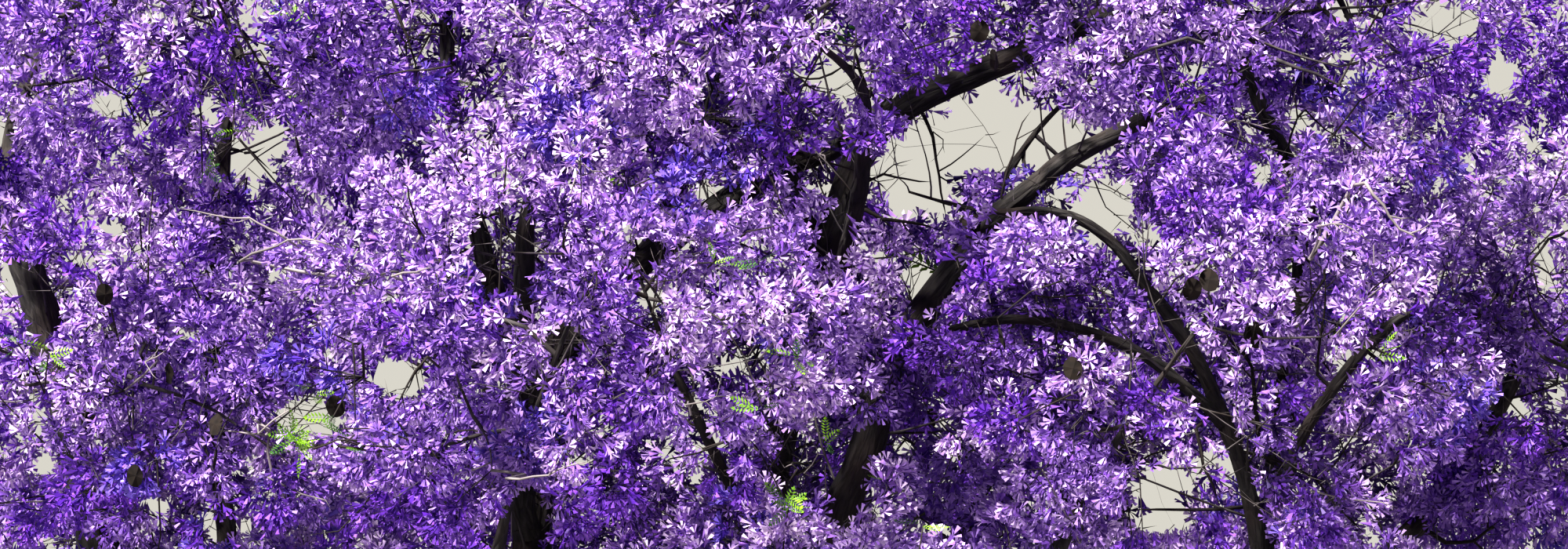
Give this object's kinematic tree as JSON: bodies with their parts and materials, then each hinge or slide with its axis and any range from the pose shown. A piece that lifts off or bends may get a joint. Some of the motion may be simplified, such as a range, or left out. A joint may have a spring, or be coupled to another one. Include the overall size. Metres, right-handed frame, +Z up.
{
  "type": "jacaranda tree",
  "caption": "Flowering jacaranda tree with a short flared trunk, long tapering boughs, and masses of violet blossom sprays, thin twigs and round seed pods.",
  "frame": {"origin": "middle of the flat cut under the trunk, at ground level", "axes": "+Z up the trunk; -Y towards the side that the picture shows, with +X to the right there"},
  "size_m": [5.9379, 5.282, 6.5326],
  "materials": {
    "bark": "rough fissured dark bark",
    "foliage": "matte violet blossom on brown twigs"
  },
  "bodies": {
    "root": {"bough_back_left": "bark", "bough_back_right": "bark", "bough_back_top": "bark", "bough_back_upper": "bark", "bough_centre": "bark", "bough_centre_far": "bark", "bough_centre_left": "bark", "bough_centre_right": "bark", "bough_front": "bark", "bough_front_high": "bark", "bough_front_left": "bark", "bough_front_upper": "bark", "bough_left": "bark", "bough_left_inner": "bark", "bough_left_top": "bark", "bough_left_upper": "bark", "bough_low_left": "bark", "bough_low_right": "bark", "bough_mid": "bark", "bough_mid_left": "bark", "bough_mid_upper": "bark", "bough_right": "bark", "bough_right_inner": "bark", "bough_right_top": "bark", "bough_right_upper": "bark", "limb_arch": "bark", "limb_arch_tip": "bark", "limb_centre_low": "bark", "limb_low_arch": "bark", "limb_right": "bark", "trunk": "bark", "mass_arch_tip": "foliage", "mass_centre_low": "foliage", "mass_crest": "foliage", "mass_high_1": "foliage", "mass_high_2": "foliage", "mass_high_3": "foliage", "mass_high_4": "foliage", "mass_high_5": "foliage", "mass_high_6": "foliage", "mass_high_7": "foliage", "mass_low_1": "foliage", "mass_low_2": "foliage", "mass_low_3": "foliage", "mass_low_4": "foliage", "mass_low_5": "foliage", "mass_low_6": "foliage", "mass_low_arch": "foliage", "mass_mid_1": "foliage", "mass_mid_2": "foliage", "mass_mid_3": "foliage", "mass_mid_4": "foliage", "mass_mid_5": "foliage", "mass_mid_6": "foliage", "mass_mid_7": "foliage", "mass_mid_8": "foliage", "mass_top_1": "foliage", "mass_top_2": "foliage", "mass_top_3": "foliage", "mass_top_4": "foliage"}
  },
  "joints": []
}
